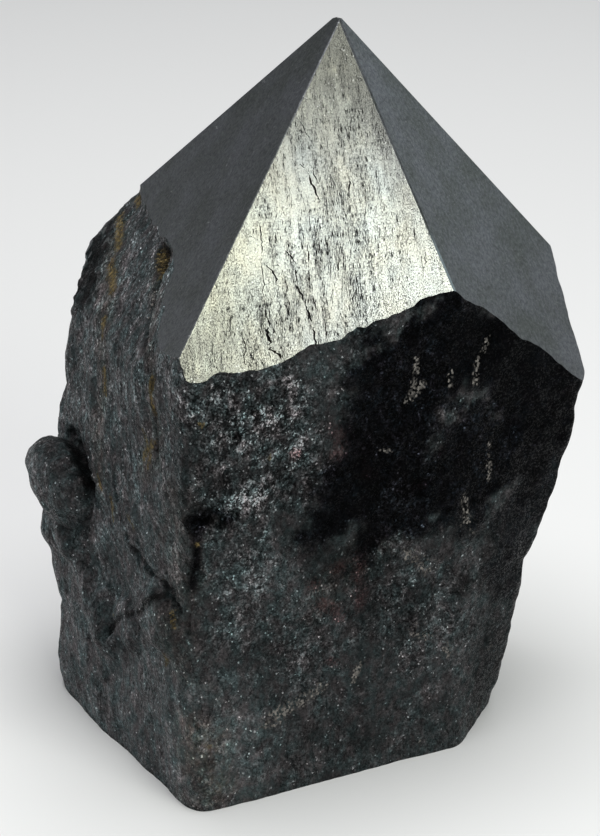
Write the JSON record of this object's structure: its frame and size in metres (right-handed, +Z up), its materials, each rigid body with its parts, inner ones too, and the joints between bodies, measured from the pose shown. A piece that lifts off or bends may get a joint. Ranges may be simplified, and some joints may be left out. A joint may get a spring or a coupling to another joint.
{
  "type": "semi-polished hematite point",
  "caption": "Free-standing hematite stone with rough natural walls, a sawn flat base and a ground pyramid tip; display mineral.",
  "frame": {"origin": "middle of the bounding box, on the sawn base that the stone stands on", "axes": "+Z up through the pyramid tip, -Y towards the side with the brightest facet, +X to the right of that side"},
  "size_m": [0.0744, 0.059, 0.1],
  "materials": {
    "hematite": "dark grey iron ore, rough and sparkling on its natural walls, ground and polished metallic grey on its tip"
  },
  "bodies": {
    "root": {"hematite_stone": "hematite"}
  },
  "joints": []
}
